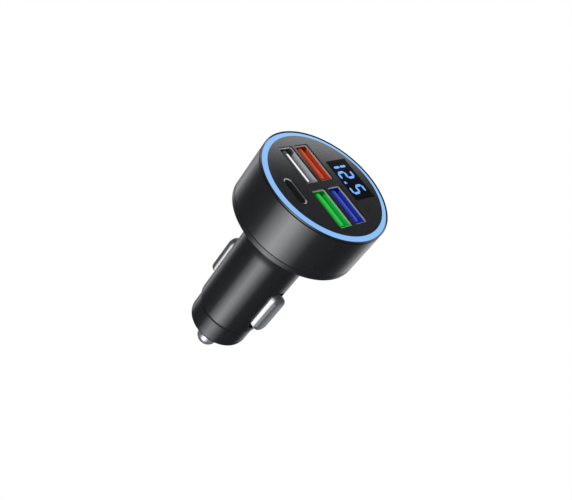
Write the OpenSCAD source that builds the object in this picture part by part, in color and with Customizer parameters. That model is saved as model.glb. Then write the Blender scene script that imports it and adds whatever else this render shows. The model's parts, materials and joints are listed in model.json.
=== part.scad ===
// Car USB charger plug: a round head with four flat sockets, one oval socket, a lit ring and a
// voltage display, on a barrel that goes into a 12 V accessory socket.
// The head is as wide as the sockets and the display on its face need.
// The origin is the centre of the head's underside. +Z runs along the plug towards the face, +X is
// the direction in which the display reads, and +Y is the top of the display.

/* [Head] */
// Height from the head's underside to the top of the ring's lip
head_h = 16.8; // [16:0.1:20]
// Height of the joint line between the two shells
seam_h = 2.2; // [2.1:0.1:3]
// Wall thickness of the front shell
shell_t = 1.2; // [1:0.05:1.3]
// Thickness of the floor under the boards
floor_t = 1.4; // [1.2:0.1:1.6]
// Bevel round the underside of the head
rim_bevel = 0.6; // [0.3:0.1:1]
// Chamfer that makes the shadow line on each joint
seam_chamfer = 0.15; // [0.1:0.05:0.3]
// Wall thickness of the spigot that plugs into the front shell
spigot_t = 1.1; // [0.9:0.05:1.2]
// Height of the spigot above the joint line
spigot_h = 3; // [2.6:0.1:4]
// Height of the snap bead on the spigot
bead_h = 0.2; // [0.1:0.05:0.3]

/* [Lit ring and face] */
// Radial width of the ring's lit band
ring_w = 1.55; // [1.4:0.05:1.7]
// Width of the lip round the lit band
lip_w = 0.4; // [0.35:0.05:0.6]
// Height of the lip above the lit band's outer edge
lip_rise = 0.25; // [0.15:0.05:0.3]
// Height of the ring's flange above the front shell's rim
ring_flange_h = 0.7; // [0.65:0.05:1]
// Height of the dark joint under the ring's flange
ring_joint = 0.3; // [0.2:0.05:0.3]
// Height of the face above the ring's lip
face_rise = 0.1; // [0:0.05:0.2]
// Thickness of the face panel
panel_t = 2; // [1.8:0.1:2.4]
// Width of the ledge that carries the ring and the face panel
ledge_w = 1.4; // [1:0.1:1.5]
// Thickness of that ledge
ledge_t = 1.4; // [1:0.1:2]

/* [Barrel and nose] */
// Diameter of the barrel, for a standard 12 V socket
barrel_d = 20.8; // [20.6:0.1:21]
// Length of the barrel below the head
barrel_l = 39.8; // [39.4:0.1:42]
// Wall thickness of the barrel
barrel_t = 1.3; // [1.1:0.05:1.4]
// Axial length of the barrel's rounded end
barrel_round = 1.1; // [0.8:0.1:1.3]
// Thickness of the shoulder between the barrel and the neck
shoulder_t = 1.4; // [1.2:0.1:1.5]
// Radial step from the barrel down to the nose cap
nose_step = 0.6; // [0.5:0.05:0.7]
// Length of the nose cap
nose_l = 8.1; // [8:0.1:10]
// Rounding of the nose cap's end
nose_round = 0.9; // [0.6:0.1:1.6]
// Thickness of the nose cap's floor
nose_floor = 2; // [1.6:0.1:2.4]
// Wall thickness of the nose cap's skirt
nose_t = 0.95; // [0.9:0.05:1.1]
// Length of the neck that the nose cap screws on
neck_l = 5.4; // [4:0.1:5.5]
// Wall thickness of the neck
neck_t = 1.8; // [1.4:0.1:2]

/* [Centre pin] */
// Diameter of the centre pin
pin_d = 7; // [6.6:0.1:7.2]
// How far the pin's tip stands out of the nose cap
pin_out = 11.1; // [9:0.1:11.4]
// Radial running clearance of the pin in the nose cap
pin_gap = 0.08; // [0.05:0.01:0.1]
// Travel of the pin into the nose cap, for which its spring has as many turns as go in
pin_travel = 4; // [3:0.1:4.4]
// Diameter of the pin's collar
collar_d = 10; // [9.6:0.1:10.4]
// Thickness of the collar
collar_t = 1.2; // [1:0.1:1.4]
// Diameter of the boss that centres the spring
spring_boss_d = 6; // [5:0.1:6.4]
// Length of that boss
spring_boss_l = 1.8; // [1.4:0.1:2]
// Mean diameter of the pin's spring
coil_d = 8; // [7.8:0.1:8.4]
// Wire diameter of the pin's spring
coil_wire = 0.6; // [0.5:0.05:0.65]
// Height of the spring's plate above the shoulder
plate_up = 1.8; // [1.7:0.1:2.2]

/* [Side contacts] */
// Width of each side contact
contact_w = 5; // [4.6:0.1:5.2]
// Length of each side contact along the barrel
contact_l = 15.2; // [15:0.1:15.6]
// How far each contact stands out of the barrel
contact_out = 2.5; // [2:0.1:2.5]
// Distance from the barrel's end to the middle of the contacts
contact_up = 11.6; // [11.4:0.1:12.6]
// Rounding of the contact's rim
contact_edge_r = 1.6; // [0.8:0.1:1.8]
// Sheet thickness of the contact
contact_t = 0.4; // [0.3:0.05:0.5]
// Gap round the contact in its slot
slot_gap = 0.2; // [0.15:0.05:0.25]
// Gap between each end of the contact and the end of its slot
slot_end_gap = 1.3; // [0.8:0.1:1.4]
// How far the contact's lip reaches past the end of the slot
lip_reach = 0.7; // [0.5:0.05:0.7]
// Thickness of the lip
lip_t = 0.5; // [0.4:0.05:0.6]
// Half the length of the leaf spring behind each contact
leaf_half = 5.4; // [5.2:0.1:5.6]
// Width of the leaf spring
leaf_w = 2.4; // [2:0.1:2.6]
// Thickness of the leaf spring
leaf_t = 0.25; // [0.2:0.05:0.3]
// Distance from the barrel's axis to the ground strap's face
strap_x = 9.2; // [8.9:0.1:9.2]
// Length of the ground strap's face, on which the leaf's ends slide out as it is pressed flat
strap_l = 13; // [12.6:0.1:13]
// Width of the ground strap
strap_w = 2.6; // [2.4:0.1:2.8]

/* [Flat sockets] */
// Clear width of a flat socket
port_w = 12.2; // [12.1:0.05:12.3]
// Clear height of a flat socket
port_h = 4.55; // [4.55:0.05:4.65]
// Thickness of the coloured lining
liner_t = 0.15; // [0.15:0.05:0.2]
// Depth of the lining's rim below the socket's mouth
liner_drop = 0.3; // [0.2:0.05:0.5]
// Sheet thickness of a socket's metal shell
sheet_t = 0.25; // [0.2:0.05:0.3]
// Depth of a socket's mouth below the face
port_recess = 0.4; // [0.3:0.05:0.6]
// Gap between the left and right sockets
column_gap = 2.5; // [2.2:0.05:2.7]
// Gap between the upper and lower sockets
row_gap = 1.05; // [0.8:0.05:1.2]
// Distance from the middle of the face down to the middle of the four sockets
ports_down = 1.3; // [1.2:0.05:1.4]
// Distance from the middle of the face left to the middle of the four sockets
ports_left = 0.2; // [0.1:0.05:0.2]
// Thickness of a socket's tongue
tongue_t = 1.2; // [1.1:0.05:1.25]
// Width of a socket's tongue
tongue_w = 11.1; // [10.9:0.05:11.2]
// Gap between the tongue and the lower wall of the socket
tongue_gap = 1; // [0.8:0.05:1]
// Depth of the tongue's end below the socket's mouth
tongue_drop = 0.2; // [0.2:0.1:0.8]
// Height of the block at the bottom of a socket
socket_base_h = 2.6; // [2.2:0.1:3]
// Length of a spring tongue in the metal shell
tab_l = 4.6; // [4:0.1:5]
// Width of a spring tongue in the metal shell
tab_w = 1.8; // [1.4:0.1:2.2]
// Depth of a spring tongue's root below the socket's mouth
tab_drop = 2.4; // [2:0.1:2.6]
// Distance from the socket's middle to a spring tongue
tab_x = 3; // [2.6:0.1:3.6]

/* [Oval socket] */
// Outer width of the oval socket
oval_w = 8.94; // [8.9:0.02:9]
// Outer height of the oval socket
oval_h = 3.16; // [3.12:0.02:3.2]
// Wall thickness of the oval socket
oval_t = 0.3; // [0.25:0.05:0.35]
// Distance from the face's rim to the oval socket
oval_edge = 3.76; // [3.7:0.01:3.9]
// Depth of the oval socket's mouth below the face
oval_recess = 0.3; // [0.2:0.05:0.4]
// Width of the oval socket's tongue
oval_tongue_w = 6.7; // [6.6:0.05:6.8]
// Thickness of the oval socket's tongue
oval_tongue_t = 0.7; // [0.6:0.05:0.8]

/* [Display] */
// Width of the display window
window_w = 14.4; // [14:0.1:14.8]
// Height of the display window
window_h = 8.5; // [8.3:0.1:8.6]
// Place of the window's middle to the left of the face's middle
window_left = 0.1; // [0:0.05:0.3]
// Gap between the upper sockets and the window
window_gap = 1.9; // [1.6:0.05:2.1]
// Distance from the window's corner to the face's rim
window_edge = 1.34; // [1.2:0.01:1.5]
// Thickness of the window
window_t = 1.2; // [1:0.1:1.4]
// Width of the rim that carries the window
window_rim = 0.8; // [0.6:0.1:0.9]
// Height of the display's digits
digit_h = 6.2; // [5.8:0.1:6.4]
// Width of a digit
digit_w = 3.1; // [2.8:0.1:3.2]
// Width of a digit's bars
bar_w = 0.8; // [0.7:0.02:0.86]
// Distance from one digit to the next
digit_pitch = 4.2; // [4:0.02:4.3]
// Extra distance for the decimal point
point_space = 1.2; // [1.1:0.05:1.4]
// Depth of the bars in the window
bar_t = 0.3; // [0.2:0.05:0.4]
// Height of the display module
module_h = 6; // [5:0.1:6.5]

/* [Circuit boards] */
// Thickness of the round port board
port_board_t = 1.6; // [1.4:0.1:1.7]
// Height of the ring that carries the port board
board_stand = 0.6; // [0.5:0.05:0.7]
// Thickness of the main board
main_board_t = 1.2; // [1:0.1:1.4]
// Half the main board's width between the side contacts
board_neck = 5.6; // [5.4:0.1:5.6]
// Diameter of the board screws
screw_d = 1.9; // [1.8:0.1:2]
// Head diameter of the board screws
screw_head_d = 3.4; // [3:0.1:3.5]
// Head height of the board screws
screw_head_h = 1.2; // [1:0.1:1.4]

/* [Electronics] */
// Side of the square inductor
inductor_side = 9; // [8:0.5:9.5]
// Height of the inductor
inductor_h = 4.3; // [3.5:0.1:4.5]
// Diameter of the capacitors' cans
capacitor_d = 6.2; // [5:0.1:6.3]
// Height of the capacitors
capacitor_h = 6.2; // [5:0.1:6.4]
// Length of a chip
chip_l = 5; // [4.6:0.1:5.2]
// Width of a chip's body
chip_w = 4; // [3.6:0.1:4.2]
// Height of a chip
chip_h = 1.4; // [1.2:0.1:1.6]
// Width of a charge chip's body
charge_chip_w = 2.2; // [2:0.1:2.4]
// Length of the fuse
fuse_l = 6.2; // [5:0.1:6.4]
// Width of the fuse
fuse_w = 3.2; // [2.6:0.1:3.4]
// Height of the fuse
fuse_h = 1.6; // [1.2:0.1:2]
// Gap between neighbouring parts on the main board
part_gap = 1; // [0.8:0.1:1.1]

/* [Clearances] */
// Gap between parts that fit into each other
fit_gap = 0.05; // [0.03:0.01:0.08]

/* [Hidden] */

$fn = 96;
eps = 0.02;

// Heights in the head
rim_z = head_h - ring_flange_h;
face_z = head_h + face_rise;
ledge_z = face_z - panel_t;
board_z = floor_t + board_stand;
board_top = board_z + port_board_t;

// Flat sockets
liner_w = port_w + 2 * liner_t;
liner_h = port_h + 2 * liner_t;
can_w = liner_w + 2 * sheet_t;
can_h = liner_h + 2 * sheet_t;
can_top = face_z - port_recess;
can_corner = 0.5;
port_left_x = -ports_left - (can_w + column_gap) / 2;
port_right_x = port_left_x + can_w + column_gap;
port_pitch = can_h + row_gap;
port_high_y = port_pitch / 2 - ports_down;
port_low_y = port_high_y - port_pitch;
ports_bottom = port_low_y - can_h / 2;
tongue_low = -port_h / 2 + tongue_gap;
tongue_top = can_top - tongue_drop;
socket_base_top = board_top + socket_base_h;
leg_w = 1;
tab_cut = 0.3;
strip_t = 0.3;
strip_w = 1;
strip_drop = 0.8;
STRIP_PLACES = [-3.5, -1, 1, 3.5];
PORT_PLACES = [
  for (x = [port_left_x, port_right_x])
    for (y = [port_high_y, port_low_y])
      [x, y]
];

// Display window
window_x = -window_left;
window_y = port_high_y + can_h / 2 + window_gap + window_h / 2;

// Radii in the head, from the window's far corner outwards
panel_r = norm([window_w / 2 + window_left, window_y + window_h / 2]) + window_edge;
ring_ir = panel_r + fit_gap;
ring_or = ring_ir + ring_w;
lip_chamfer = 0.1;
head_r = ring_or + lip_w;
shell_ir = head_r - shell_t;
spigot_or = shell_ir - fit_gap;
spigot_ir = spigot_or - spigot_t;
spigot_top = seam_h + spigot_h;
bead_z = seam_h + spigot_h / 2;
stand_w = 0.9;
board_r = spigot_ir - 2 * fit_gap;

// Barrel, neck and nose
barrel_r = barrel_d / 2;
barrel_ir = barrel_r - barrel_t;
barrel_end = -barrel_l;
nose_r = barrel_r - nose_step;
nose_end = barrel_end - nose_l;
nose_floor_top = nose_end + nose_floor;
neck_r = nose_r - nose_t - fit_gap;
neck_ir = neck_r - neck_t;
cavity_end = barrel_end + shoulder_t;

// Centre pin and its spring
pin_r = pin_d / 2;
dome_z = nose_end - pin_out + pin_r;
collar_top = nose_floor_top + collar_t;
contact_plate_t = 0.5;
plate_top = cavity_end + plate_up;
plate_z = plate_top - contact_plate_t;
coil_turns = floor((plate_z - collar_top - pin_travel + eps) / coil_wire) - 1;

// Side contacts
contact_x = barrel_r + contact_out;
contact_z = barrel_end + contact_up;
slot_w = contact_w + 2 * slot_gap;
slot_l = contact_l + 2 * slot_end_gap;
lip_l = slot_l + 2 * lip_reach;
lip_x = sqrt(pow(barrel_ir, 2) - pow(contact_w / 2, 2)) - fit_gap;
leaf_apex = contact_x - contact_t - fit_gap;
leaf_rise = leaf_apex - strap_x;
leaf_r = (pow(leaf_rise, 2) + pow(leaf_half, 2)) / (2 * leaf_rise);
strap_t = 0.4;
strap_grip = 0.6;

// Oval socket
oval_y = panel_r - oval_edge - oval_h / 2;
oval_top = face_z - oval_recess;
oval_base_top = board_top + 3;
oval_tongue_top = oval_top - 0.9;

// Display module and reading
module_w = window_w - 2 * window_rim - 2 * fit_gap;
module_d = window_h - 2 * window_rim - 2 * fit_gap;
module_top = face_z - window_t;
module_z = module_top - module_h;
digit_y = window_y - 0.25;
digit_x = -1.65;
point_x = digit_x + 2.5;
// Each digit: the place of its middle from the window's middle, and its lit bars
DIGITS = [
  [digit_x - digit_pitch, ["b", "c"]],
  [digit_x, ["a", "b", "g", "e", "d"]],
  [digit_x + digit_pitch + point_space, ["a", "f", "g", "c", "d"]]
];

// Boards and what they carry
led_count = 8;
led_r = spigot_ir - 0.95;
led_angles = [for (i = [0 : led_count - 1]) (i + 0.5) * 360 / led_count];
screw_edge = 3.3;
screw_angle = 39.3;
screw_places = concat(
  [for (a = [screw_angle, 180 - screw_angle]) (board_r - screw_edge) * [cos(a), sin(a)]],
  [[0, (ports_bottom - oval_y + oval_h / 2) / 2]]
);
boss_r = 2.2;
header_pins = 5;
pin_pitch = 2.54;
header_d = 2;
display_pin_count = 5;
display_pin_edge = 1;
oval_strip_count = 12;
oval_strip_pitch = 0.5;
oval_strip_w = 0.26;
oval_strip_t = 0.08;
oval_strip_drop = 0.4;
pin_side = 0.6;
rail_z0 = contact_z + lip_l / 2 + 0.4;
rail_depth = 1.4;
rail_t = 1.2;
rail_y = (main_board_t + rail_t + fit_gap) / 2;
lead_l = 0.9;
lead_w = 0.4;
lead_pitch = 1.27;
lead_h = 0.6;
charge_chip_x = 8.6;
charge_chip_y = ports_bottom - 2 - charge_chip_w / 2 - lead_l / 2;
tab_plate_l = 3;
// Places along the main board, stacked from its top and from its bottom
header_h = 2.4;
wiring_l = 3.6;
inductor_z = board_z - header_h - part_gap - wiring_l - inductor_side / 2;
controller_z = inductor_z - inductor_side / 2 - part_gap - chip_l / 2;
output_capacitor_z = board_z - header_h - part_gap - wiring_l / 2 - capacitor_d / 2;
switch_z = output_capacitor_z - capacitor_d / 2 - part_gap - chip_l / 2;
fuse_z = plate_top + tab_plate_l + part_gap / 2 + fuse_l / 2;
input_capacitor_z = plate_top + tab_plate_l + part_gap + capacitor_d / 2;

function arc(centre, rx, ry, a0, a1, steps) = [
  for (i = [0 : steps])
    let (a = a0 + (a1 - a0) * i / steps)
    [centre[0] + rx * cos(a), centre[1] + ry * sin(a)]
];

// Places of the members of a row, from its middle
function row_places(count, pitch) = [for (i = [0 : count - 1]) (i - (count - 1) / 2) * pitch];

module rounded_rect(w, h, r) {
  square([w - 2 * r, h], center = true);
  square([w, h - 2 * r], center = true);
  for (x = [-1, 1])
    for (y = [-1, 1])
      translate([x * (w / 2 - r), y * (h / 2 - r)])
        circle(r);
}

module obround(w, h) {
  square([w - h, h], center = true);
  for (x = [-1, 1])
    translate([x * (w - h) / 2, 0])
      circle(h / 2);
}

module block(x0, x1, y0, y1, z0, z1) {
  translate([x0, y0, z0])
    cube([x1 - x0, y1 - y0, z1 - z0]);
}

module front_shell() color("#232527") {
  difference() {
    rotate_extrude()
      polygon([
        [shell_ir, seam_h],
        [head_r - seam_chamfer, seam_h],
        [head_r, seam_h + seam_chamfer],
        [head_r, rim_z - seam_chamfer],
        [head_r - seam_chamfer, rim_z],
        [shell_ir, rim_z],
        [shell_ir, ledge_z],
        [ring_ir - ledge_w, ledge_z],
        [ring_ir - ledge_w, ledge_z - ledge_t],
        [shell_ir, ledge_z - ledge_t - 1]
      ]);
    // Groove that the spigot's bead snaps into
    rotate_extrude()
      polygon(bead_outline(fit_gap));
    // Windows that let the light up into the ring
    for (a = led_angles)
      rotate([0, 0, a])
        block(ring_ir - 0.4, shell_ir, -1.5, 1.5, ledge_z - ledge_t - 1.2, ledge_z + eps);
  }
}

function bead_outline(gap) = [
  [spigot_or - 0.3, bead_z - bead_h - gap],
  [spigot_or, bead_z - bead_h - gap],
  [spigot_or + bead_h + gap, bead_z],
  [spigot_or, bead_z + bead_h + gap],
  [spigot_or - 0.3, bead_z + bead_h + gap]
];

module rear_shell() color("#1f2123") {
  difference() {
    union() {
      rotate_extrude()
        polygon(concat(
          [
            [neck_ir, barrel_end - neck_l],
            [neck_r - seam_chamfer, barrel_end - neck_l],
            [neck_r, barrel_end - neck_l + seam_chamfer],
            [neck_r, barrel_end]
          ],
          arc([nose_r, barrel_end + barrel_round], barrel_r - nose_r, barrel_round, -90, 0, 8),
          [
            [barrel_r, 0],
            [head_r - rim_bevel, 0],
            [head_r, rim_bevel],
            [head_r, seam_h - seam_chamfer],
            [head_r - seam_chamfer, seam_h],
            [spigot_or, seam_h],
            [spigot_or, spigot_top - seam_chamfer],
            [spigot_or - seam_chamfer, spigot_top],
            [spigot_ir, spigot_top],
            [spigot_ir, board_z],
            [spigot_ir - stand_w, board_z],
            [spigot_ir - stand_w, floor_t],
            [barrel_ir, floor_t],
            [barrel_ir, cavity_end],
            [neck_ir, cavity_end]
          ]
        ));
      rotate_extrude()
        polygon(bead_outline(0));
      for (p = screw_places)
        translate([p[0], p[1], floor_t / 2])
          cylinder(h = board_z - floor_t / 2, r = boss_r);
      // Rails that hold the edges of the main board
      for (side = [0, 180])
        rotate([0, 0, side])
          for (y = [-1, 1])
            translate([barrel_ir - rail_depth, y * rail_y - rail_t / 2, rail_z0])
              cube([rail_depth + barrel_t / 2, rail_t, -rail_z0 - rail_t]);
    }
    for (p = screw_places)
      translate([p[0], p[1], 0.4])
        cylinder(h = board_z, r = screw_d / 2 + eps);
    // Slots for the side contacts
    for (side = [0, 180])
      rotate([0, 0, side])
        translate([barrel_ir - 1.2, 0, contact_z])
          rotate([0, 90, 0])
            linear_extrude(barrel_t + 2.4)
              obround(slot_l, slot_w);
  }
}

module nose_cap() color("#1f2123") {
  rotate_extrude()
    polygon(concat(
      [
        [nose_r - nose_t, barrel_end],
        [nose_r - 2 * seam_chamfer, barrel_end],
        [nose_r, barrel_end - 2 * seam_chamfer]
      ],
      arc([nose_r - nose_round, nose_end + nose_round], nose_round, nose_round, 0, -90, 10),
      [
        [pin_r + pin_gap + seam_chamfer, nose_end],
        [pin_r + pin_gap, nose_end + seam_chamfer],
        [pin_r + pin_gap, nose_floor_top],
        [nose_r - nose_t, nose_floor_top]
      ]
    ));
}

module face_panel() color("#2b2d2f") {
  difference() {
    translate([0, 0, ledge_z])
      cylinder(h = panel_t, r = panel_r);
    for (p = PORT_PLACES)
      translate([p[0], p[1], ledge_z - eps])
        linear_extrude(panel_t + 2 * eps)
          rounded_rect(can_w + 2 * fit_gap, can_h + 2 * fit_gap, can_corner + fit_gap);
    translate([0, -oval_y, ledge_z - eps])
      linear_extrude(panel_t + 2 * eps)
        obround(oval_w + 2 * fit_gap, oval_h + 2 * fit_gap);
    translate([window_x, window_y, 0]) {
      translate([0, 0, face_z - window_t])
        linear_extrude(window_t + eps)
          square([window_w + 2 * fit_gap, window_h + 2 * fit_gap], center = true);
      translate([0, 0, ledge_z - eps])
        linear_extrude(panel_t)
          square([window_w - 2 * window_rim, window_h - 2 * window_rim], center = true);
    }
  }
}

module light_ring() color("#8ac0ff") {
  rotate_extrude()
    polygon([
      [ring_ir, ledge_z],
      [shell_ir - fit_gap, ledge_z],
      [shell_ir - fit_gap, rim_z],
      [ring_or + fit_gap, rim_z],
      [ring_or + fit_gap, rim_z + ring_joint],
      [head_r, rim_z + ring_joint],
      [head_r, head_h - lip_chamfer],
      [head_r - lip_chamfer, head_h],
      [ring_or, head_h - lip_rise],
      [ring_ir, face_z]
    ]);
}

// One bar of a digit, along X, with pointed ends
module bar(l) {
  polygon([
    [-l / 2, 0],
    [-l / 2 + bar_w / 2, bar_w / 2],
    [l / 2 - bar_w / 2, bar_w / 2],
    [l / 2, 0],
    [l / 2 - bar_w / 2, -bar_w / 2],
    [-l / 2 + bar_w / 2, -bar_w / 2]
  ]);
}

// The place and direction of each bar in a digit
function bar_place(name) =
  let (w = (digit_w - bar_w) / 2, h = (digit_h - bar_w) / 2)
  name == "a" ? [0, h, 0] :
  name == "b" ? [w, h / 2, 90] :
  name == "c" ? [w, -h / 2, 90] :
  name == "d" ? [0, -h, 0] :
  name == "e" ? [-w, -h / 2, 90] :
  name == "f" ? [-w, h / 2, 90] :
  [0, 0, 0];

module digit_bars() {
  gap = 0.12;
  translate([0, 0, face_z - bar_t])
    linear_extrude(bar_t) {
      for (d = DIGITS)
        for (name = d[1])
          let (p = bar_place(name))
          translate([window_x + d[0] + p[0], digit_y + p[1]])
            rotate(p[2])
              bar((p[2] == 0 ? digit_w - bar_w : (digit_h - bar_w) / 2) - gap);
      translate([window_x + point_x, digit_y - (digit_h - bar_w) / 2])
        square(bar_w, center = true);
    }
}

module display_window() color("#0b0c0e") {
  difference() {
    translate([window_x, window_y, face_z - window_t])
      linear_extrude(window_t)
        square([window_w, window_h], center = true);
    digit_bars();
  }
}

module display_digits() color("#58aaff")
  digit_bars();

module display_module() color("#303234")
  translate([window_x, window_y, module_z])
    linear_extrude(module_h)
      square([module_w, module_d], center = true);

module display_pins() color("#c8c8c4")
  for (x = row_places(display_pin_count, pin_pitch))
    for (side = [-1, 1])
      translate([window_x + x, window_y + side * (module_d / 2 - display_pin_edge), board_top])
        cylinder(h = module_z - board_top, r = 0.25, $fn = 24);

module port_legs(grow) {
  for (x = [-1, 1])
    translate([x * (can_w / 2 - sheet_t / 2), 0, board_z + 0.2 - grow])
      linear_extrude(port_board_t - 0.2 + grow + eps)
        square([sheet_t + 2 * grow, leg_w + 2 * grow], center = true);
}

module header_pin_places() {
  for (x = row_places(header_pins, pin_pitch))
    translate([x, (main_board_t + header_d) / 2, 0])
      children();
}

module port_board() color("#1d5b36") {
  difference() {
    translate([0, 0, board_z])
      cylinder(h = port_board_t, r = board_r);
    for (p = screw_places)
      translate([p[0], p[1], 0])
        cylinder(h = head_h, r = screw_d / 2 + 0.15);
    for (p = PORT_PLACES)
      translate([p[0], p[1], 0])
        port_legs(fit_gap);
    header_pin_places()
      translate([-pin_side / 2 - fit_gap, -pin_side / 2 - fit_gap, 0])
        cube([pin_side + 2 * fit_gap, pin_side + 2 * fit_gap, head_h]);
  }
}

module ring_leds() color("#f2f2e8")
  for (a = led_angles)
    rotate([0, 0, a])
      block(led_r - 0.6, led_r + 0.6, -1, 1, board_top, board_top + 0.8);

module board_screws() color("#b9bcc0")
  for (p = screw_places)
    translate([p[0], p[1], 0])
      difference() {
        union() {
          translate([0, 0, 0.5])
            cylinder(h = board_top - 0.5 + eps, r = screw_d / 2);
          translate([0, 0, board_top])
            cylinder(h = screw_head_h, r = screw_head_d / 2);
        }
        for (a = [0, 90])
          rotate([0, 0, a])
            translate([0, 0, board_top + screw_head_h])
              cube([2, 0.4, 1.2], center = true);
      }

// Metal shell of a flat socket, with the spring tongues cut in its long sides
module port_shell(x, y) color("#b4b7bb")
  translate([x, y, 0]) {
    difference() {
      translate([0, 0, board_top])
        linear_extrude(can_top - board_top)
          difference() {
            rounded_rect(can_w, can_h, can_corner);
            rounded_rect(liner_w, liner_h, can_corner - sheet_t);
          }
      for (side = [-1, 1])
        for (place = [-tab_x, tab_x])
          translate([place, side * (can_h - sheet_t) / 2, can_top - tab_drop - tab_l / 2])
            difference() {
              cube([tab_w + 2 * tab_cut, 2 * sheet_t, tab_l], center = true);
              translate([0, 0, tab_cut])
                cube([tab_w, 3 * sheet_t, tab_l], center = true);
            }
    }
    port_legs(0);
  }

// Moulded insert of a flat socket: block, tongue and, in a coloured one, the lining
module port_insert(x, y, lined)
  translate([x, y, 0]) {
    translate([0, 0, board_top])
      linear_extrude(socket_base_h)
        rounded_rect(liner_w, liner_h, can_corner - sheet_t);
    difference() {
      block(-tongue_w / 2, tongue_w / 2, tongue_low, tongue_low + tongue_t,
        socket_base_top - eps, tongue_top);
      // Grooves that the contact strips lie in
      port_strips(strip_t / 2, socket_base_top - 2 * eps);
    }
    if (lined)
      translate([0, 0, board_top])
        linear_extrude(can_top - liner_drop - board_top)
          difference() {
            rounded_rect(liner_w, liner_h, can_corner - sheet_t);
            rounded_rect(port_w, port_h, liner_t / 2);
          }
  }

module port_strips(depth, z0)
  for (x = STRIP_PLACES)
    block(x - strip_w / 2, x + strip_w / 2, tongue_low + tongue_t - depth,
      tongue_low + tongue_t - depth + strip_t, z0, tongue_top - strip_drop);

module port_contacts(x, y) color("#d9b65a")
  translate([x, y, 0])
    port_strips(strip_t / 2, socket_base_top);

module port_shell_orange() port_shell(port_left_x, port_high_y);
module port_shell_white() port_shell(port_left_x, port_low_y);
module port_shell_green() port_shell(port_right_x, port_low_y);
module port_shell_blue() port_shell(port_right_x, port_high_y);

module port_insert_orange() color("#d2400e") port_insert(port_left_x, port_high_y, true);
module port_insert_white() color("#f4f4f2") port_insert(port_left_x, port_low_y, false);
module port_insert_green() color("#0ac235") port_insert(port_right_x, port_low_y, true);
module port_insert_blue() color("#1e32c4") port_insert(port_right_x, port_high_y, true);

module port_contacts_orange() port_contacts(port_left_x, port_high_y);
module port_contacts_white() port_contacts(port_left_x, port_low_y);
module port_contacts_green() port_contacts(port_right_x, port_low_y);
module port_contacts_blue() port_contacts(port_right_x, port_high_y);

module oval_shell() color("#b4b7bb")
  translate([0, -oval_y, board_top])
    linear_extrude(oval_top - board_top)
      difference() {
        obround(oval_w, oval_h);
        obround(oval_w - 2 * oval_t, oval_h - 2 * oval_t);
      }

module oval_insert() color("#17181a")
  translate([0, -oval_y, 0]) {
    translate([0, 0, board_top])
      linear_extrude(oval_base_top - board_top)
        obround(oval_w - 2 * oval_t, oval_h - 2 * oval_t);
    block(-oval_tongue_w / 2, oval_tongue_w / 2, -oval_tongue_t / 2, oval_tongue_t / 2,
      oval_base_top - eps, oval_tongue_top);
  }

module oval_contacts() color("#d9b65a")
  translate([0, -oval_y, oval_base_top])
    for (side = [-1, 1])
      for (x = row_places(oval_strip_count, oval_strip_pitch))
        translate([x - oval_strip_w / 2, side * (oval_tongue_t + oval_strip_t) / 2 - oval_strip_t / 2, 0])
          cube([oval_strip_w, oval_strip_t, oval_tongue_top - oval_base_top - oval_strip_drop]);

module main_board() color("#1d5b36") {
  half = barrel_ir - 5 * fit_gap;
  translate([0, main_board_t / 2, 0])
    rotate([90, 0, 0])
      linear_extrude(main_board_t)
        polygon([
          [-half, board_z],
          [half, board_z],
          [half, rail_z0],
          [board_neck, rail_z0],
          [board_neck, plate_top],
          [-board_neck, plate_top],
          [-board_neck, rail_z0],
          [-half, rail_z0]
        ]);
}

module board_header() color("#202224") {
  l = header_pins * pin_pitch;
  difference() {
    block(-l / 2, l / 2, main_board_t / 2, main_board_t / 2 + header_d, board_z - header_h, board_z);
    header_pin_places()
      translate([-pin_side / 2, -pin_side / 2, board_z - 1])
        cube([pin_side, pin_side, 2]);
  }
  header_pin_places()
    translate([-pin_side / 2, -pin_side / 2, board_z - 1])
      cube([pin_side, pin_side, port_board_t + 0.8]);
}

// Puts a part's base on the main board, on the side given, with its height away from the board
module on_board(side, z)
  translate([0, side * main_board_t / 2, z])
    rotate([-90 * side, 0, 0])
      children();

module power_inductor() color("#3a3c3e")
  on_board(1, inductor_z) {
    linear_extrude(inductor_h - 0.5)
      rounded_rect(inductor_side, inductor_side, 1.6);
    cylinder(h = inductor_h, r = inductor_side * 0.38);
  }

module input_fuse() color("#d8d2c0")
  on_board(1, fuse_z)
    linear_extrude(fuse_h)
      rounded_rect(fuse_w, fuse_l, 0.4);

module controller_chip() color("#141517") on_board(1, controller_z) chip(chip_w);
module power_switch() color("#141517") on_board(-1, switch_z) chip(chip_w);
module input_capacitor() color("#2d3138") on_board(-1, input_capacitor_z) can_capacitor();
module output_capacitor() color("#2d3138") on_board(-1, output_capacitor_z) can_capacitor();

// Round can on a square base, with the groove of its seal
module can_capacitor() {
  r = capacitor_d / 2;
  groove = 0.2;
  linear_extrude(0.8)
    rounded_rect(capacitor_d + 2 * groove, capacitor_d + 2 * groove, 0.8);
  rotate_extrude()
    polygon([
      [0, 0.7], [r, 0.7], [r, 1.6], [r - groove, 1.6 + groove], [r, 1.6 + 2 * groove],
      [r, capacitor_h - groove], [r - groove, capacitor_h], [0, capacitor_h]
    ]);
}

// Chip with four leads on each side
module chip(w) {
  translate([0, 0, 0.15])
    linear_extrude(chip_h)
      square([w, chip_l], center = true);
  for (i = [0 : 3])
    for (row = [-1, 1])
      translate([row * (w + lead_l) / 2 - row * 0.1, (i - 1.5) * lead_pitch, lead_h / 2])
        cube([lead_l, lead_w, lead_h], center = true);
}

module charge_chip(x) color("#141517")
  translate([x, charge_chip_y, board_top])
    rotate([0, 0, 90])
      chip(charge_chip_w);

module charge_chip_left() charge_chip(-charge_chip_x);
module charge_chip_right() charge_chip(charge_chip_x);

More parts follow.
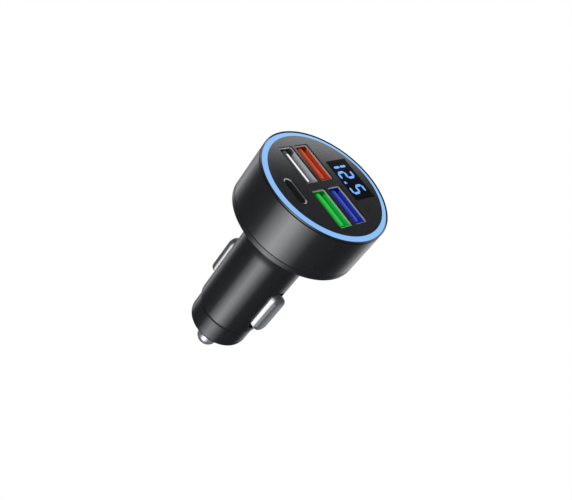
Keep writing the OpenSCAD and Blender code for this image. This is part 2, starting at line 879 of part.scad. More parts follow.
// Plate under the main board that the pin's spring presses on, with its solder tabs
module positive_contact() color("#d9b65a") {
  translate([0, 0, plate_z])
    cylinder(h = contact_plate_t, r = collar_d / 2 + 0.2);
  for (side = [-1, 1])
    translate([-1.5, side * (main_board_t / 2 + 0.2) - 0.2, plate_top - eps])
      cube([3, 0.4, tab_plate_l]);
}

// Bracket on the board's edge that the leaf spring bears on
module ground_strap() color("#c9a950")
  translate([0, 0, contact_z]) {
    block(strap_x - strap_t, strap_x, -strap_w / 2, strap_w / 2, -strap_l / 2, strap_l / 2);
    for (z = [-1, 1])
      difference() {
        translate([0, 0, z * (strap_l - strap_t) / 2])
          block(board_neck - strap_grip, strap_x - strap_t / 2, -strap_w / 2, strap_w / 2,
            -strap_t / 2, strap_t / 2);
        block(0, board_neck, -main_board_t / 2, main_board_t / 2, -strap_l, strap_l);
      }
  }

module ground_strap_right() ground_strap();
module ground_strap_left() mirror([1, 0, 0]) ground_strap();

module centre_pin() color("#d5d7da")
  rotate_extrude()
    polygon(concat(
      arc([0, dome_z], pin_r, pin_r, -90, 0, 20),
      [
        [pin_r, nose_floor_top],
        [collar_d / 2, nose_floor_top],
        [collar_d / 2, collar_top],
        [spring_boss_d / 2, collar_top],
        [spring_boss_d / 2, collar_top + spring_boss_l - 0.3],
        [spring_boss_d / 2 - 0.3, collar_top + spring_boss_l],
        [0, collar_top + spring_boss_l]
      ]
    ));

// Helical spring between the pin's collar and the plate
module pin_spring() color("#a9adb2")
  coil(coil_d / 2, coil_wire / 2, collar_top + coil_wire / 2, plate_z - coil_wire / 2, coil_turns, 24, 8);

module coil(r, wire, z0, z1, turns, steps, sides) {
  count = turns * steps;
  points = [
    for (i = [0 : count])
      for (k = [0 : sides - 1])
        let (a = 360 * i / steps, b = 360 * k / sides, out = r + wire * cos(b))
        [out * cos(a), out * sin(a), z0 + (z1 - z0) * i / count + wire * sin(b)]
  ];
  walls = [
    for (i = [0 : count - 1])
      for (k = [0 : sides - 1])
        let (next = (k + 1) % sides)
        [i * sides + k, (i + 1) * sides + k, (i + 1) * sides + next, i * sides + next]
  ];
  start = [[for (k = [0 : sides - 1]) k]];
  finish = [[for (k = [sides - 1 : -1 : 0]) count * sides + k]];
  polyhedron(points, concat(walls, start, finish));
}

// Section across a side contact, moved in by a wall: flat outside, with rounded edges
module contact_section(wall, foot) {
  half = contact_w / 2 - wall;
  rim = contact_edge_r - wall;
  top = contact_x - wall;
  translate([rim - half, foot])
    square([2 * (half - rim), top - foot]);
  translate([-half, foot])
    square([2 * half, top - rim - foot]);
  for (side = [-1, 1])
    translate([side * (half - rim), top - rim])
      circle(rim);
}

// Body of a side contact: that section along the middle, and turned round each end
module contact_form(wall, foot) {
  middle = contact_l - contact_w;
  translate([0, 0, contact_z - middle / 2])
    linear_extrude(middle)
      rotate(-90)
        contact_section(wall, foot);
  for (end = [-1, 1])
    translate([0, 0, contact_z + end * middle / 2])
      rotate([0, 90, 0])
        rotate([0, 0, end * 90])
          rotate_extrude(angle = 180)
            intersection() {
              contact_section(wall, foot);
              translate([0, foot])
                square([contact_w, contact_x - foot]);
            }
}

// Pressed contact: hollow from inside, with a lip behind the ends of its slot
module side_contact() color("#c4c6ca")
  difference() {
    union() {
      contact_form(0, lip_x - lip_t / 2);
      translate([lip_x - lip_t, 0, contact_z])
        rotate([0, 90, 0])
          linear_extrude(lip_t)
            obround(lip_l, contact_w);
    }
    contact_form(contact_t, lip_x - lip_t - eps);
  }

module side_contact_right() side_contact();
module side_contact_left() mirror([1, 0, 0]) side_contact();

// Bowed leaf that pushes the contact out
module side_spring() color("#a9adb2")
  translate([0, leaf_w / 2, contact_z])
    rotate([90, 0, 0])
      linear_extrude(leaf_w)
        intersection() {
          translate([leaf_apex - leaf_r, 0])
            difference() {
              circle(leaf_r);
              circle(leaf_r - leaf_t);
            }
          translate([strap_x, -leaf_r])
            square([leaf_r, 2 * leaf_r]);
        }

module side_spring_right() side_spring();
module side_spring_left() mirror([1, 0, 0]) side_spring();

front_shell();
rear_shell();
nose_cap();
face_panel();
light_ring();
display_window();
display_digits();
display_module();
display_pins();
port_board();
ring_leds();
board_screws();
port_shell_orange();
port_shell_white();
port_shell_green();
port_shell_blue();
port_insert_orange();
port_insert_white();
port_insert_green();
port_insert_blue();
port_contacts_orange();
port_contacts_white();
port_contacts_green();
port_contacts_blue();
oval_shell();
oval_insert();
oval_contacts();
main_board();
board_header();
power_inductor();
input_capacitor();
output_capacitor();
controller_chip();
power_switch();
input_fuse();
charge_chip_left();
charge_chip_right();
positive_contact();
ground_strap_right();
ground_strap_left();
centre_pin();
pin_spring();
side_contact_right();
side_contact_left();
side_spring_right();
side_spring_left();
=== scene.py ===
import json
import math
import bmesh
import bpy
from mathutils import Matrix, Vector

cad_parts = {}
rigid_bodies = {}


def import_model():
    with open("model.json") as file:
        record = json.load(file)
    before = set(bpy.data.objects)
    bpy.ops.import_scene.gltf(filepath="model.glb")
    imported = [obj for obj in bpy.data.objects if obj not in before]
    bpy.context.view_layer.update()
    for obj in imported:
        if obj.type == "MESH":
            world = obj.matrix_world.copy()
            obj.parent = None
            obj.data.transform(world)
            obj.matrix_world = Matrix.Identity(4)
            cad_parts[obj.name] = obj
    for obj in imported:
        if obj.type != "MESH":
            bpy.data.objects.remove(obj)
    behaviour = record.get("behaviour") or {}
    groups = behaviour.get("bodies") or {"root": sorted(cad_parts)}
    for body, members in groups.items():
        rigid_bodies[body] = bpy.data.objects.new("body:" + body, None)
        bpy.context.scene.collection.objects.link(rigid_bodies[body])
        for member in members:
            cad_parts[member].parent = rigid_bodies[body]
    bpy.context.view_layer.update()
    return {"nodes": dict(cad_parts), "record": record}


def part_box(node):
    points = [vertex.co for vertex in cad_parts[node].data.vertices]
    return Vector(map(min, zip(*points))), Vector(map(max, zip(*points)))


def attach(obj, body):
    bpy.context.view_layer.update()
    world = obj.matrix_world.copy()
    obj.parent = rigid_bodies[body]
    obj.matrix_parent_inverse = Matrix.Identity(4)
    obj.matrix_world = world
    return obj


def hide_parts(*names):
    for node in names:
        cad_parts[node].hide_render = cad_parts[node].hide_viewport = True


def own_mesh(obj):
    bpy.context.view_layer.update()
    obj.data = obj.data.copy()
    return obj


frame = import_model()

MM = 0.001


def box_mm(node):
    """Low and high corner, middle and half size of a CAD node, in millimetres."""
    low, high = [[c / MM for c in corner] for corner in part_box(node)]
    middle = [(a + b) / 2 for a, b in zip(low, high)]
    half = [(b - a) / 2 for a, b in zip(low, high)]
    return low, high, middle, half


# The finishes change at these places of the frame, in millimetres.
# Lit ring: the blue band ends at this radius, and a black lip lies outside it
RING_LIT_R = box_mm("light_ring")[1][0] - 0.5

# Barrel: the polish is dull between these heights, just under the head
DULL_FROM = -9.5
DULL_TO = -0.3
DULL_SOFT = 2.6

# Side contacts: the ends of the painted highlight on their flat cheeks, and where the rim's outer face
# begins; the rim is painted grey as shade
contact_high, contact_middle, contact_half = box_mm("side_contact_right")[1:]
CONTACT_Z = contact_middle[2]
CHEEK_RIGHT = contact_high[0] - 1.65
CHEEK_LEFT = contact_high[0] - 1.85
CHEEK_UP = contact_half[2] - 2.9
CHEEK_DOWN = contact_half[2] - 1.8
RIM_FACE = contact_high[0] - 0.3

# Oval socket: the height of its rim, and where its rounded ends begin
oval_high = box_mm("oval_shell")[1]
OVAL_RIM = oval_high[2]
OVAL_ENDS = oval_high[0] - 1.2

# Flat sockets: the tongues' top, the tongues' edge from each socket's middle, and how far the
# painted shade at the left ends of the lining, the steel and the white tongue reaches
TONGUE_TOP = box_mm("port_insert_white")[1][2]
TONGUE_EDGE = -0.08
LINING_DARK = 1.0
STEEL_DARK = 2.0
TONGUE_DARK = 1.8

# Inside: the top of the pin strip, the foot and top of the capacitors' cans, the width of the
# chips' leads and the length of the fuse's caps
board_high = box_mm("main_board")[1]
HEADER_TOP = board_high[2]
CAN_FOOT = board_high[1] + 0.8
CAN_TOP = board_high[1] + 6.1
STRIPE_FROM = 1.4
LEAD_OUT = 0.8
FUSE_CAP = 1.3

# Stretch of the fine lines in steel that was drawn along the plug
DRAWN = (1, 1, 0.12)


def srgb(code):
    """Colour as written in a paint program, such as "#202123", as Blender's linear colour."""
    def channel(text):
        v = int(text, 16) / 255
        return v / 12.92 if v <= 0.04045 else ((v + 0.055) / 1.055) ** 2.4
    return (channel(code[1:3]), channel(code[3:5]), channel(code[5:7]), 1.0)


def grey(v):
    """Linear grey of the value given, from 0 to 1."""
    return (v, v, v, 1.0)


def shade(colour, share):
    """The colour with a share of its light."""
    return tuple(share * c for c in colour[:3]) + (1.0,)


class Value:
    """A socket in a shader. Sums and products of it add the Math nodes that work them out."""

    def __init__(self, shader, socket):
        self.shader = shader
        self.socket = socket

    def math(self, operation, *others):
        terms = dict(enumerate((self,) + others))
        return self.shader.node("ShaderNodeMath", {"operation": operation}, terms)

    def reflected(self, operation, first):
        return self.shader.node("ShaderNodeMath", {"operation": operation}, {0: first, 1: self})

    def __add__(self, other):
        return self.math("ADD", other)

    def __radd__(self, other):
        return self.reflected("ADD", other)

    def __sub__(self, other):
        return self.math("SUBTRACT", other)

    def __rsub__(self, other):
        return self.reflected("SUBTRACT", other)

    def __mul__(self, other):
        return self.math("MULTIPLY", other)

    def __rmul__(self, other):
        return self.reflected("MULTIPLY", other)

    def __truediv__(self, other):
        return self.math("DIVIDE", other)

    def __pow__(self, other):
        return self.math("POWER", other)

    def __abs__(self):
        return self.math("ABSOLUTE")

    def above(self, edge, soft):
        """0 below the edge and 1 above it, with a soft step as wide as given."""
        return self.shader.node(
            "ShaderNodeMapRange",
            {"interpolation_type": "SMOOTHSTEP"},
            {"Value": self, "From Min": edge - soft / 2, "From Max": edge + soft / 2},
        )

    def below(self, edge, soft):
        return 1 - self.above(edge, soft)

    def between(self, low, high, soft):
        return self.above(low, soft) * self.below(high, soft)


class Shader:
    """The nodes of one material or of the world."""

    def __init__(self, tree):
        self.tree = tree
        tree.nodes.clear()

    def node(self, kind, settings=None, sockets=None, output=0):
        made = self.tree.nodes.new(kind)
        for name, setting in (settings or {}).items():
            if name == "stops":
                self.set_stops(made.color_ramp.elements, setting)
            elif name == "curve":
                made.color_ramp.interpolation = setting
            else:
                setattr(made, name, setting)
        for name, value in (sockets or {}).items():
            if isinstance(value, Value):
                self.tree.links.new(value.socket, made.inputs[name])
            else:
                made.inputs[name].default_value = value
        return Value(self, made.outputs[output]) if made.outputs else None

    def set_stops(self, elements, stops):
        for place, colour in stops[1:-1]:
            elements.new(place).color = colour
        for element, (place, colour) in ((elements[0], stops[0]), (elements[-1], stops[-1])):
            element.position = place
            element.color = colour

    def mix(self, amount, first, second):
        """The first colour where the amount is 0, and the second where it is 1."""
        return self.node(
            "ShaderNodeMix",
            {"data_type": "RGBA"},
            {"Factor": amount, 6: first, 7: second},
            output=2,
        )

    def place(self, centre=(0, 0, 0), stretch=(1, 1, 1)):
        """Object coordinates in millimetres from the centre given, stretched along the axes."""
        at = self.node("ShaderNodeTexCoord", output="Object")
        scale = [s / MM for s in stretch]
        moved = [-c * s for c, s in zip(centre, stretch)]
        return self.node("ShaderNodeMapping", None, {"Vector": at, "Location": moved, "Scale": scale})

    def axes(self, centre=(0, 0, 0)):
        """x, y and z in millimetres from the centre given."""
        place = self.place(centre)
        return [self.node("ShaderNodeSeparateXYZ", None, {"Vector": place}, output=i) for i in range(3)]

    def noise(self, size, detail=2.0, stretch=(1, 1, 1)):
        """Noise from 0 to 1 with grains of the size given, in millimetres."""
        return self.node(
            "ShaderNodeTexNoise",
            None,
            {"Vector": self.place(stretch=stretch), "Scale": 1 / size, "Detail": detail},
        )

    def bump(self, height, depth):
        """Surface normal for a height from 0 to 1 whose full depth is given in millimetres."""
        return self.node(
            "ShaderNodeBump",
            None,
            {"Height": height, "Distance": depth * MM, "Strength": 1.0},
        )


def finish(name, paint):
    """Makes a material. paint gets its shader and returns the sockets of its surface."""
    material = bpy.data.materials.new(name)
    material.use_nodes = True
    shader = Shader(material.node_tree)
    surface = shader.node("ShaderNodeBsdfPrincipled", None, paint(shader))
    shader.node("ShaderNodeOutputMaterial", None, {"Surface": surface})
    return material


def moulded(colour, roughness, mottle=0.04, grain=0.25, depth=0.004):
    """Moulded plastic: an even colour, a faintly uneven gloss and a fine grain."""
    def paint(s):
        return {
            "Base Color": s.mix(s.noise(6, 3), shade(colour, 0.86), colour),
            "Roughness": roughness - mottle / 2 + mottle * s.noise(1.7, 4),
            "Normal": s.bump(s.noise(grain, 2), depth),
            "IOR": 1.5,
        }
    return paint


def metal(colour, roughness):
    """Bare metal, faintly mottled."""
    def paint(s):
        cloud = s.noise(0.3, 3)
        return {
            "Base Color": s.mix(cloud, shade(colour, 0.8), colour),
            "Metallic": 1.0,
            "Roughness": roughness - 0.04 + 0.08 * cloud,
            "Normal": s.bump(cloud, 0.003),
        }
    return paint


def satin(colour, bright, roughness, streak):
    """Plated metal with fine lines, which mirrors the part called bright and scatters the rest."""
    def paint(s):
        lines = s.noise(0.3, 3, stretch=streak)
        return {
            "Base Color": s.mix(lines, shade(colour, 0.88), colour),
            "Metallic": bright,
            "Roughness": roughness - 0.03 + 0.06 * lines,
            "Normal": s.bump(lines, 0.002),
        }
    return paint


def contact_plating(s):
    """Plated side contact: its flat cheeks are painted white as a highlight, and its rounded rim and
    outer face are painted grey as shade.
    """
    x, y, z = s.axes((0, 0, CONTACT_Z))
    lines = s.noise(0.3, 3, stretch=(1, 1, 0.1))
    # Painted highlight: the flat cheeks are white where the metal would mirror a bright lamp
    cheek = x.between(-CHEEK_LEFT, CHEEK_RIGHT, 0.7) * z.between(-CHEEK_DOWN, CHEEK_UP, 1.0)
    rounded = s.mix(lines, srgb("#4d4f52"), srgb("#585a5d"))
    face = s.mix(lines, srgb("#6c6e71"), srgb("#7a7c7f"))
    # Painted shade: the rounded rim and its outer face are grey
    painted_shade_rim = s.mix(abs(x).above(RIM_FACE, 0.3), rounded, face)
    bright = s.mix(lines, srgb("#f8f9fa"), srgb("#ffffff"))
    return {
        "Base Color": s.mix(cheek, painted_shade_rim, bright),
        "Metallic": 0.2 - 0.1 * cheek,
        "Roughness": 0.2 + 0.05 * lines,
        "Specular IOR Level": 0.15,
        "Normal": s.bump(lines, 0.002),
    }


def rimmed(s):
    """Steel of the oval socket: its top rim is pale grey, lighter at its rounded ends, and deeper down
    it is painted near black as shade, with a faint painted glow.
    """
    x, y, z = s.axes()
    rim = z.above(OVAL_RIM - 0.12, 0.08)
    ends = abs(x).above(OVAL_ENDS, 0.8)
    lines = s.noise(0.3, 3, stretch=DRAWN)
    rim_tone = s.mix(ends, srgb("#717377"), s.mix(lines, srgb("#cfd1d5"), srgb("#e2e4e8")))
    return {
        # Painted shade below the rim, and a painted glow that lifts it to an even dark grey
        "Base Color": s.mix(rim, srgb("#17181a"), rim_tone),
        "Emission Color": s.mix(rim, srgb("#1a1b1c"), grey(0)),
        "Emission Strength": 0.7,
        "Metallic": 0.3,
        "Roughness": 0.3 + 0.06 * lines,
        "Normal": s.bump(lines, 0.002),
    }


def white_inside(s):
    """White tongue, white on its top with a faint painted glow, and painted grey as shade lower down
    and at its left end.
    """
    x, y, z = s.axes()
    low, high, middle = box_mm("port_insert_white")[:3]
    near_side = middle[1] + TONGUE_EDGE - 0.7
    # Painted shade: only the top, away from the near side and the left end, keeps its white
    top = z.above(TONGUE_TOP - 0.3, 0.2) * y.above(near_side, 0.16)
    top = top * x.above(low[0] + TONGUE_DARK, 0.4)
    bright = s.mix(s.noise(3, 3), srgb("#eeeeec"), srgb("#fbfbfa"))
    return {
        "Base Color": s.mix(top, srgb("#55565a"), bright),
        "Roughness": 0.45 + 0.1 * s.noise(0.8, 3),
        "Specular IOR Level": 0.06,
        # Painted glow on the tongue's top
        "Emission Color": s.mix(top, grey(0), bright),
        "Emission Strength": 0.08,
        "Normal": s.bump(s.noise(0.2, 2), 0.003),
    }


def white_lining(s):
    """Bare steel that lines the white socket, dark at its left end, where no light gets in."""
    x, y, z = s.axes()
    low, high = box_mm("port_shell_white")[:2]
    lines = s.noise(0.3, 3, stretch=DRAWN)
    lit = x.above(low[0] + STEEL_DARK, 0.8) + z.above(high[2] - 0.2, 0.1)
    steel = s.mix(lines, srgb("#cdcfd3"), srgb("#dadce0"))
    return {
        "Base Color": s.mix(lit.math("MINIMUM", 1.0), srgb("#4a4b4e"), steel),
        "Metallic": 0.3,
        "Roughness": 0.32 + 0.06 * lines,
        "Normal": s.bump(lines, 0.002),
    }


def polished(colour, gloss, strength=1.0, grain=0.0006, under_head=False):
    """Black moulding under a polish. The polish is left dull on the barrel just under the head."""
    def paint(s):
        polish = strength * (0.97 + 0.03 * s.noise(1.5, 3))
        if under_head:
            x, y, z = s.axes()
            polish = polish * (1 - 0.9 * z.above(DULL_FROM, DULL_SOFT) * z.below(DULL_TO, 0.3))
        return {
            "Base Color": s.mix(s.noise(6, 3), shade(colour, 0.86), colour),
            "Roughness": 0.42 + 0.1 * s.noise(1.7, 4),
            "Specular IOR Level": 0.04,
            "Normal": s.bump(s.noise(0.3, 2), grain),
            "Coat Weight": polish,
            "Coat Roughness": gloss,
            "Coat IOR": 1.5,
        }
    return paint


def ring_glow(s):
    """Lit diffuser ring: an even blue band, with a black polished lip outside it."""
    x, y, z = s.axes()
    radius = (x * x + y * y) ** 0.5
    lit = radius.below(RING_LIT_R, 0.1)
    hot = s.noise(5, 2)
    return {
        "Base Color": s.mix(lit, srgb("#1d1e20"), srgb("#0c1420")),
        "Roughness": 0.4 + 0.06 * s.noise(2, 3),
        "Specular IOR Level": 0.04,
        "Coat Weight": 1 - lit,
        "Coat Roughness": 0.14,
        "Coat IOR": 1.5,
        "Emission Color": s.mix(lit, grey(0), s.mix(hot, srgb("#8abcf5"), srgb("#8ec1f8"))),
        "Emission Strength": 1.0,
        "Normal": s.bump(s.noise(0.3), 0.001),
    }


def matt_inside(node, colour):
    """Coloured moulding inside a socket, with little gloss. It has a painted glow of its own colour,
    and painted shade darkens its left end. A painted highlight runs along the tongue's upper edge."""
    low, high, middle = box_mm(node)[:3]
    edge = middle[1] + TONGUE_EDGE

    def paint(s):
        x, y, z = s.axes()
        # Painted shade: the left end keeps only 0.3 of its colour and glow
        lit = x.above(low[0] + LINING_DARK, 0.5) + z.above(high[2] - 0.1, 0.1)
        lit = 0.3 + 0.7 * lit.math("MINIMUM", 1.0)
        # Painted highlight: a pale grey line along the tongue's upper edge
        painted_edge_glint = y.between(edge - 0.14, edge + 0.1, 0.06) * z.above(TONGUE_TOP - 0.25, 0.1)
        painted_edge_glint = painted_edge_glint * x.between(low[0] + 1.1, high[0] - 1.1, 0.1)
        fresh = s.mix(s.noise(3, 3), shade(colour, 0.76), shade(colour, 0.85))
        body = s.mix(0.35 * painted_edge_glint, s.mix(lit, grey(0), fresh), srgb("#c9cbd0"))
        return {
            "Base Color": body,
            "Roughness": 0.45 + 0.1 * s.noise(0.8, 3),
            "Specular IOR Level": 0.06,
            # The emission is a painted glow of the moulding's colour
            "Emission Color": body,
            "Emission Strength": 0.3,
            "Normal": s.bump(s.noise(0.2, 2), 0.003),
        }
    return paint


def smoked(s):
    """Smoked window, coated so that it mirrors little."""
    return {
        "Base Color": s.mix(s.noise(4), srgb("#0b0c0e"), srgb("#0e0f11")),
        "Roughness": 0.1 + 0.04 * s.noise(2, 3),
        "Specular IOR Level": 0.02,
    }


def digit_glow(s):
    """Lit bars of the reading, a little uneven."""
    spot = s.noise(1.2, 2)
    return {
        "Base Color": srgb("#2a5c98"),
        "Roughness": 0.3 + 0.05 * s.noise(0.5),
        "Emission Color": s.mix(spot, srgb("#4f9ff8"), srgb("#5cabff")),
        "Emission Strength": 0.8,
    }


def board(s):
    """Green circuit board, with a grid of copper lines that shows through its mask."""
    tracks = s.node(
        "ShaderNodeTexBrick",
        None,
        {"Vector": s.place(), "Scale": 0.9, "Mortar Size": 0.06,
         "Color1": grey(0), "Color2": grey(0), "Mortar": grey(1)},
        output="Fac",
    )
    return {
        "Base Color": s.mix(tracks, srgb("#164b2c"), srgb("#2f7a46")),
        "Roughness": 0.34 + 0.08 * s.noise(1.5),
        "Normal": s.bump(tracks, 0.02),
        "Coat Weight": 0.3,
    }


def header(s):
    """Black pin strip whose metal pins come out of its top."""
    x, y, z = s.axes()
    pin = z.above(HEADER_TOP, 0.02)
    return {
        "Base Color": s.mix(pin, srgb("#1c1d1f"), srgb("#c9b684")),
        "Metallic": pin,
        "Roughness": 0.5 - 0.25 * pin + 0.05 * s.noise(0.8),
    }


def capacitor(s):
    """Aluminium can on a black base, with the dark mark of its minus side on its top."""
    x, y, z = s.axes()
    out = -1 * y
    can = out.above(CAN_FOOT, 0.05)
    stripe = can * out.above(CAN_TOP, 0.05) * x.above(STRIPE_FROM, 0.05)
    bare = can * (1 - stripe)
    return {
        "Base Color": s.mix(bare, srgb("#1a1b1d"), srgb("#b9bcc2")),
        "Metallic": bare,
        "Roughness": 0.5 - 0.22 * bare + 0.06 * s.noise(0.6, 3, (1, 0.1, 1)),
        "Normal": s.bump(s.noise(0.3), 0.004),
    }


def chip(node, leads):
    """Black epoxy body, matt from its mould, with tinned leads at both ends of the axis given."""
    middle, half = box_mm(node)[2:]

    def paint(s):
        lead = abs(s.axes(middle)[leads]).above(half[leads] - LEAD_OUT, 0.02)
        return {
            "Base Color": s.mix(lead, srgb("#17181a"), srgb("#c4c6c9")),
            "Metallic": lead,
            "Roughness": 0.6 - 0.3 * lead + 0.08 * s.noise(0.3, 3),
            "Normal": s.bump(s.noise(0.12, 2), 0.006),
        }
    return paint


def fuse(s):
    """White ceramic body with tinned end caps."""
    middle, half = box_mm("input_fuse")[2:]
    cap = abs(s.axes(middle)[2]).above(half[2] - FUSE_CAP, 0.04)
    return {
        "Base Color": s.mix(cap, srgb("#e2ddcf"), srgb("#c4c6c9")),
        "Metallic": cap,
        "Roughness": 0.55 - 0.25 * cap + 0.06 * s.noise(0.5, 3),
    }


def lamp_body(s):
    """White lamp package with a yellowish lens on its top."""
    x, y, z = s.axes()
    lens_top = box_mm("ring_leds")[1][2]
    lens = z.above(lens_top - 0.05, 0.02)
    return {
        "Base Color": s.mix(lens, srgb("#ecebe4"), srgb("#e9e3a4")),
        "Roughness": 0.45 - 0.2 * lens + 0.05 * s.noise(0.4),
    }


BLACK = srgb("#1d1e20")
case_black = finish("case_black", polished(BLACK, 0.1))
barrel_black = finish("barrel_black", polished(BLACK, 0.08, strength=0.72, under_head=True))
nose_black = finish("nose_black", polished(BLACK, 0.08, strength=0.58))
face_black = finish("face_black", polished(srgb("#1a1b1d"), 0.06, grain=0.0002))
window_black = finish("window_black", smoked)
socket_black = finish("socket_black", moulded(srgb("#101113"), 0.35))
part_black = finish("part_black", moulded(srgb("#25272a"), 0.45, depth=0.006))
ferrite = finish("ferrite", moulded(srgb("#3c3e41"), 0.6, mottle=0.1, grain=0.2, depth=0.02))
orange = finish("orange_plastic", matt_inside("port_insert_orange", srgb("#b63c16")))
white = finish("white_plastic", white_inside)
green = finish("green_plastic", matt_inside("port_insert_green", srgb("#0fb83a")))
blue = finish("blue_plastic", matt_inside("port_insert_blue", srgb("#2037aa")))
lit_ring = finish("lit_ring", ring_glow)
lit_digits = finish("lit_digits", digit_glow)
nickel = finish("nickel", contact_plating)
pin_nickel = finish("pin_nickel", satin(srgb("#aeb0b4"), 0.72, 0.28, streak=(0.1, 0.1, 1)))
socket_steel = finish("socket_steel", satin(srgb("#c3c5c9"), 0.35, 0.3, streak=DRAWN))
oval_steel = finish("oval_steel", rimmed)
spring_steel = finish("spring_steel", metal(srgb("#a4a8ae"), 0.28))
brass = finish("brass", metal(srgb("#d3b15c"), 0.3))
gold = finish("gold_plate", metal(srgb("#e2bd62"), 0.22))
tin = finish("tinned_wire", metal(srgb("#c6c8ca"), 0.3))
zinc = finish("zinc_plate", metal(srgb("#bfc3c6"), 0.32))
board_green = finish("board_green", board)

FINISHES = {
    "front_shell": case_black,
    "rear_shell": barrel_black,
    "nose_cap": nose_black,
    "face_panel": face_black,
    "light_ring": lit_ring,
    "display_window": window_black,
    "display_digits": lit_digits,
    "display_module": part_black,
    "display_pins": tin,
    "port_board": board_green,
    "ring_leds": finish("lamp_body", lamp_body),
    "board_screws": zinc,
    "port_insert_orange": orange,
    "port_insert_white": white,
    "port_insert_green": green,
    "port_insert_blue": blue,
    "oval_shell": oval_steel,
    "oval_insert": socket_black,
    "oval_contacts": gold,
    "main_board": board_green,
    "board_header": finish("pin_strip", header),
    "power_inductor": ferrite,
    "input_capacitor": finish("input_can", capacitor),
    "output_capacitor": finish("output_can", capacitor),
    "controller_chip": finish("controller_epoxy", chip("controller_chip", 0)),
    "power_switch": finish("switch_epoxy", chip("power_switch", 0)),
    "input_fuse": finish("fuse_ceramic", fuse),
    "charge_chip_left": finish("left_chip_epoxy", chip("charge_chip_left", 1)),
    "charge_chip_right": finish("right_chip_epoxy", chip("charge_chip_right", 1)),
    "positive_contact": brass,
    "ground_strap_right": brass,
    "ground_strap_left": brass,
    "centre_pin": pin_nickel,
    "pin_spring": spring_steel,
    "side_contact_right": nickel,
    "side_contact_left": nickel,
    "side_spring_right": spring_steel,
    "side_spring_left": spring_steel,
}
for socket in ("orange", "white", "green", "blue"):
    FINISHES["port_shell_" + socket] = socket_steel
    FINISHES["port_contacts_" + socket] = gold
FINISHES["port_shell_white"] = finish("white_socket_steel", white_lining)

for node, material in FINISHES.items():
    for place in frame["nodes"][node].material_slots:
        place.material = material


def make_springs():
    """Springs copied from their CAD nodes and attached to each joint's parent body.
    Each stands for its CAD node, which is hidden."""
    for joint in frame["record"]["behaviour"]["joints"]:
        for row in joint.get("deforming_nodes", []):
            axis = row["mode"][-1]
            fixed_end = row["fixed_end_" + axis + "_m"]
            cad_node = frame["nodes"][row["node"]]
            spring = bpy.data.objects.new(row["node"] + "_working", cad_node.data.copy())
            bpy.context.scene.collection.objects.link(spring)
            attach(spring, joint["parent"])
            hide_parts(row["node"])
            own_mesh(spring)


def stage_piece(name, mesh_maker, material):
    """A piece of the studio, which isn't part of the plug."""
    mesh = bpy.data.meshes.new(name)
    form = bmesh.new()
    mesh_maker(form, bmesh.ops)
    form.to_mesh(mesh)
    form.free()
    piece = bpy.data.objects.new(name, mesh)
    mesh.materials.append(material)
    bpy.context.scene.collection.objects.link(piece)
    return piece


def seen_directly(s):
    """1 for what the camera, a mirror or glass sees, and 0 for the light that falls on pieces."""
    rays = [
        s.node("ShaderNodeLightPath", output=name)
        for name in ("Is Camera Ray", "Is Glossy Ray", "Is Transmission Ray")
    ]
    return (rays[0] + rays[1] + rays[2]).math("MINIMUM", 1.0)


# The studio's sizes, in metres, and the strength of the white light from all round
FLOOR_Z = -1.6
FLOOR_HALF = 8
TENT_R = 1.5
WORLD_LIGHT = 0.75


def make_floor():
    """Pale floor far below the plug, white where it is seen and faintly shaded by the plug."""
    material = bpy.data.materials.new("pale_floor")
    material.use_nodes = True
    s = Shader(material.node_tree)
    matt = s.node("ShaderNodeBsdfDiffuse", None, {"Color": grey(0.82)})
    glow = s.node("ShaderNodeEmission", None, {"Color": grey(1.0), "Strength": 1.0})
    both = s.node("ShaderNodeMixShader", None, {"Fac": 0.998 * seen_directly(s), 1: matt, 2: glow})
    s.node("ShaderNodeOutputMaterial", None, {"Surface": both})

    def plane(form, ops):
        down = Matrix.Translation((0, 0, FLOOR_Z))
        ops.create_grid(form, x_segments=1, y_segments=1, size=FLOOR_HALF, matrix=down)
    stage_piece("pale_floor", plane, material)


def make_world():
    """White world, which is dimmer for the light that falls on pieces than where it is seen."""
    world = bpy.data.worlds.new("studio")
    bpy.context.scene.world = world
    world.use_nodes = True
    s = Shader(world.node_tree)
    seen = seen_directly(s)
    strength = seen + WORLD_LIGHT * (1 - seen)
    glow = s.node("ShaderNodeBackground", None, {"Color": grey(1.0), "Strength": strength})
    s.node("ShaderNodeOutputWorld", None, {"Surface": glow})


# What the polished pieces mirror all round, as degrees of azimuth and brightness.
# A long soft lamp stands to the front, and white boards stand to the left and at the back.
TENT_WALL = (
    (-180, 0.36), (-174, 0.16), (-162, 0.05), (-150, 0.03), (-122, 0.03), (-110, 0.25), (-100, 1.75),
    (-87, 4.1), (-74, 6.6), (-62, 5.5), (-49, 2.8), (-37, 1.1), (-27, 0.1), (-18, 0.01), (28, 0.01),
    (38, 0.05), (51, 0.13), (63, 0.48), (75, 0.75), (87, 0.82), (93, 0.62), (99, 0.24), (112, 0.09),
    (130, 0.3), (148, 0.55), (161, 1.1), (173, 0.58), (180, 0.36),
)
# The most that a ramp can give
TENT_TOP = 8.0
TENT_COLOUR = (0.965, 0.972, 1.0, 1.0)
# Elevation below which the tent is dark, so that edges that turn downwards end in shade
DARK_BELOW = -52

# The soft edge of the board above, which the face mirrors
BOARD_EDGE = (
    (46, 0.01), (49, 0.03), (50.2, 0.07), (51.4, 0.22), (52.7, 0.5), (53.6, 0.78), (55, 1.38),
    (57, 2.1), (60, 2.6),
)


def ramp(s, place, stops, low, high):
    """Value that follows the stops, given in the place's own units."""
    scaled = [((at - low) / (high - low), grey(value / TENT_TOP)) for at, value in stops]
    colour = s.node(
        "ShaderNodeValToRGB",
        {"stops": scaled, "curve": "LINEAR"},
        {"Fac": (place - low) / (high - low)},
    )
    return colour * TENT_TOP


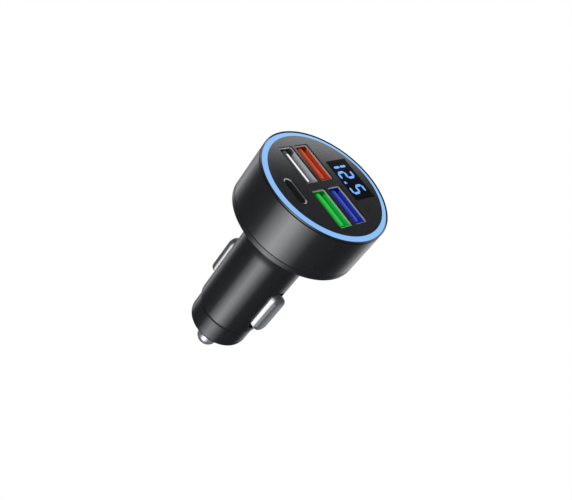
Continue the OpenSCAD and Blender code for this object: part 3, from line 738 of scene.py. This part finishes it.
def make_tent():
    """Big round tent of dark cloth that only polished pieces mirror."""
    material = bpy.data.materials.new("studio_tent")
    material.use_nodes = True
    s = Shader(material.node_tree)
    x, y, z = s.axes()
    azimuth = y.math("ARCTAN2", x) * (180 / math.pi)
    level = (x * x + y * y) ** 0.5
    elevation = z.math("ARCTAN2", level) * (180 / math.pi)
    wall = ramp(s, azimuth, TENT_WALL, -180, 180)
    above = ramp(s, azimuth - 2 * elevation, BOARD_EDGE, 46, 60)
    high = elevation.above(6, 24)
    quarter = azimuth.above(60, 20) * azimuth.below(150, 20)
    strength = wall * (1 - high) * elevation.above(DARK_BELOW, 12) + above * high * quarter
    glow = s.node("ShaderNodeEmission", None, {"Color": TENT_COLOUR, "Strength": strength})
    s.node("ShaderNodeOutputMaterial", None, {"Surface": glow})

    def ball(form, ops):
        ops.create_icosphere(form, subdivisions=5, radius=TENT_R)
    tent = stage_piece("studio_tent", ball, material)
    tent.visible_camera = False
    tent.visible_diffuse = False
    tent.visible_transmission = False
    tent.visible_shadow = False
    tent.visible_volume_scatter = False


def make_lamp(name, place, size, power):
    """Round soft lamp that points at the plug and isn't mirrored in it."""
    light = bpy.data.lights.new(name, "AREA")
    light.shape = "DISK"
    light.size = size
    light.energy = power
    lamp = bpy.data.objects.new(name, light)
    bpy.context.scene.collection.objects.link(lamp)
    lamp.location = place
    lamp.rotation_euler = (-Vector(place)).to_track_quat("-Z", "Y").to_euler()
    lamp.visible_camera = False
    lamp.visible_glossy = False


# The camera: its place in millimetres and its own right, down and forward directions
CAMERA_AT = (73.49494, -163.87133, 128.71077)
CAMERA_RIGHT = Vector((0.56445094, 0.65870759, 0.49749317))
CAMERA_DOWN = Vector((0.76331165, -0.1870725, -0.61835201))
CAMERA_FORWARD = Vector((-0.31424587, 0.7287717, -0.60839243))
CAMERA_LENS = 49.456


def make_camera():
    lens = bpy.data.cameras.new("camera")
    lens.lens = CAMERA_LENS
    lens.sensor_width = 36
    lens.sensor_fit = "HORIZONTAL"
    lens.clip_start = 0.01
    lens.clip_end = 100
    camera = bpy.data.objects.new("camera", lens)
    bpy.context.scene.collection.objects.link(camera)
    turn = Matrix((CAMERA_RIGHT, -CAMERA_DOWN, -CAMERA_FORWARD)).transposed()
    camera.matrix_world = Matrix.Translation([c * MM for c in CAMERA_AT]) @ turn.to_4x4()
    bpy.context.scene.camera = camera


make_springs()
make_floor()
make_world()
make_tent()
make_lamp("lamp_over_face", (-0.3, -0.25, 0.9), 0.6, 2)
make_lamp("lamp_front", (0.5, -0.9, 0.2), 0.6, 7)
make_camera()
bpy.context.scene.view_settings.view_transform = "Standard"
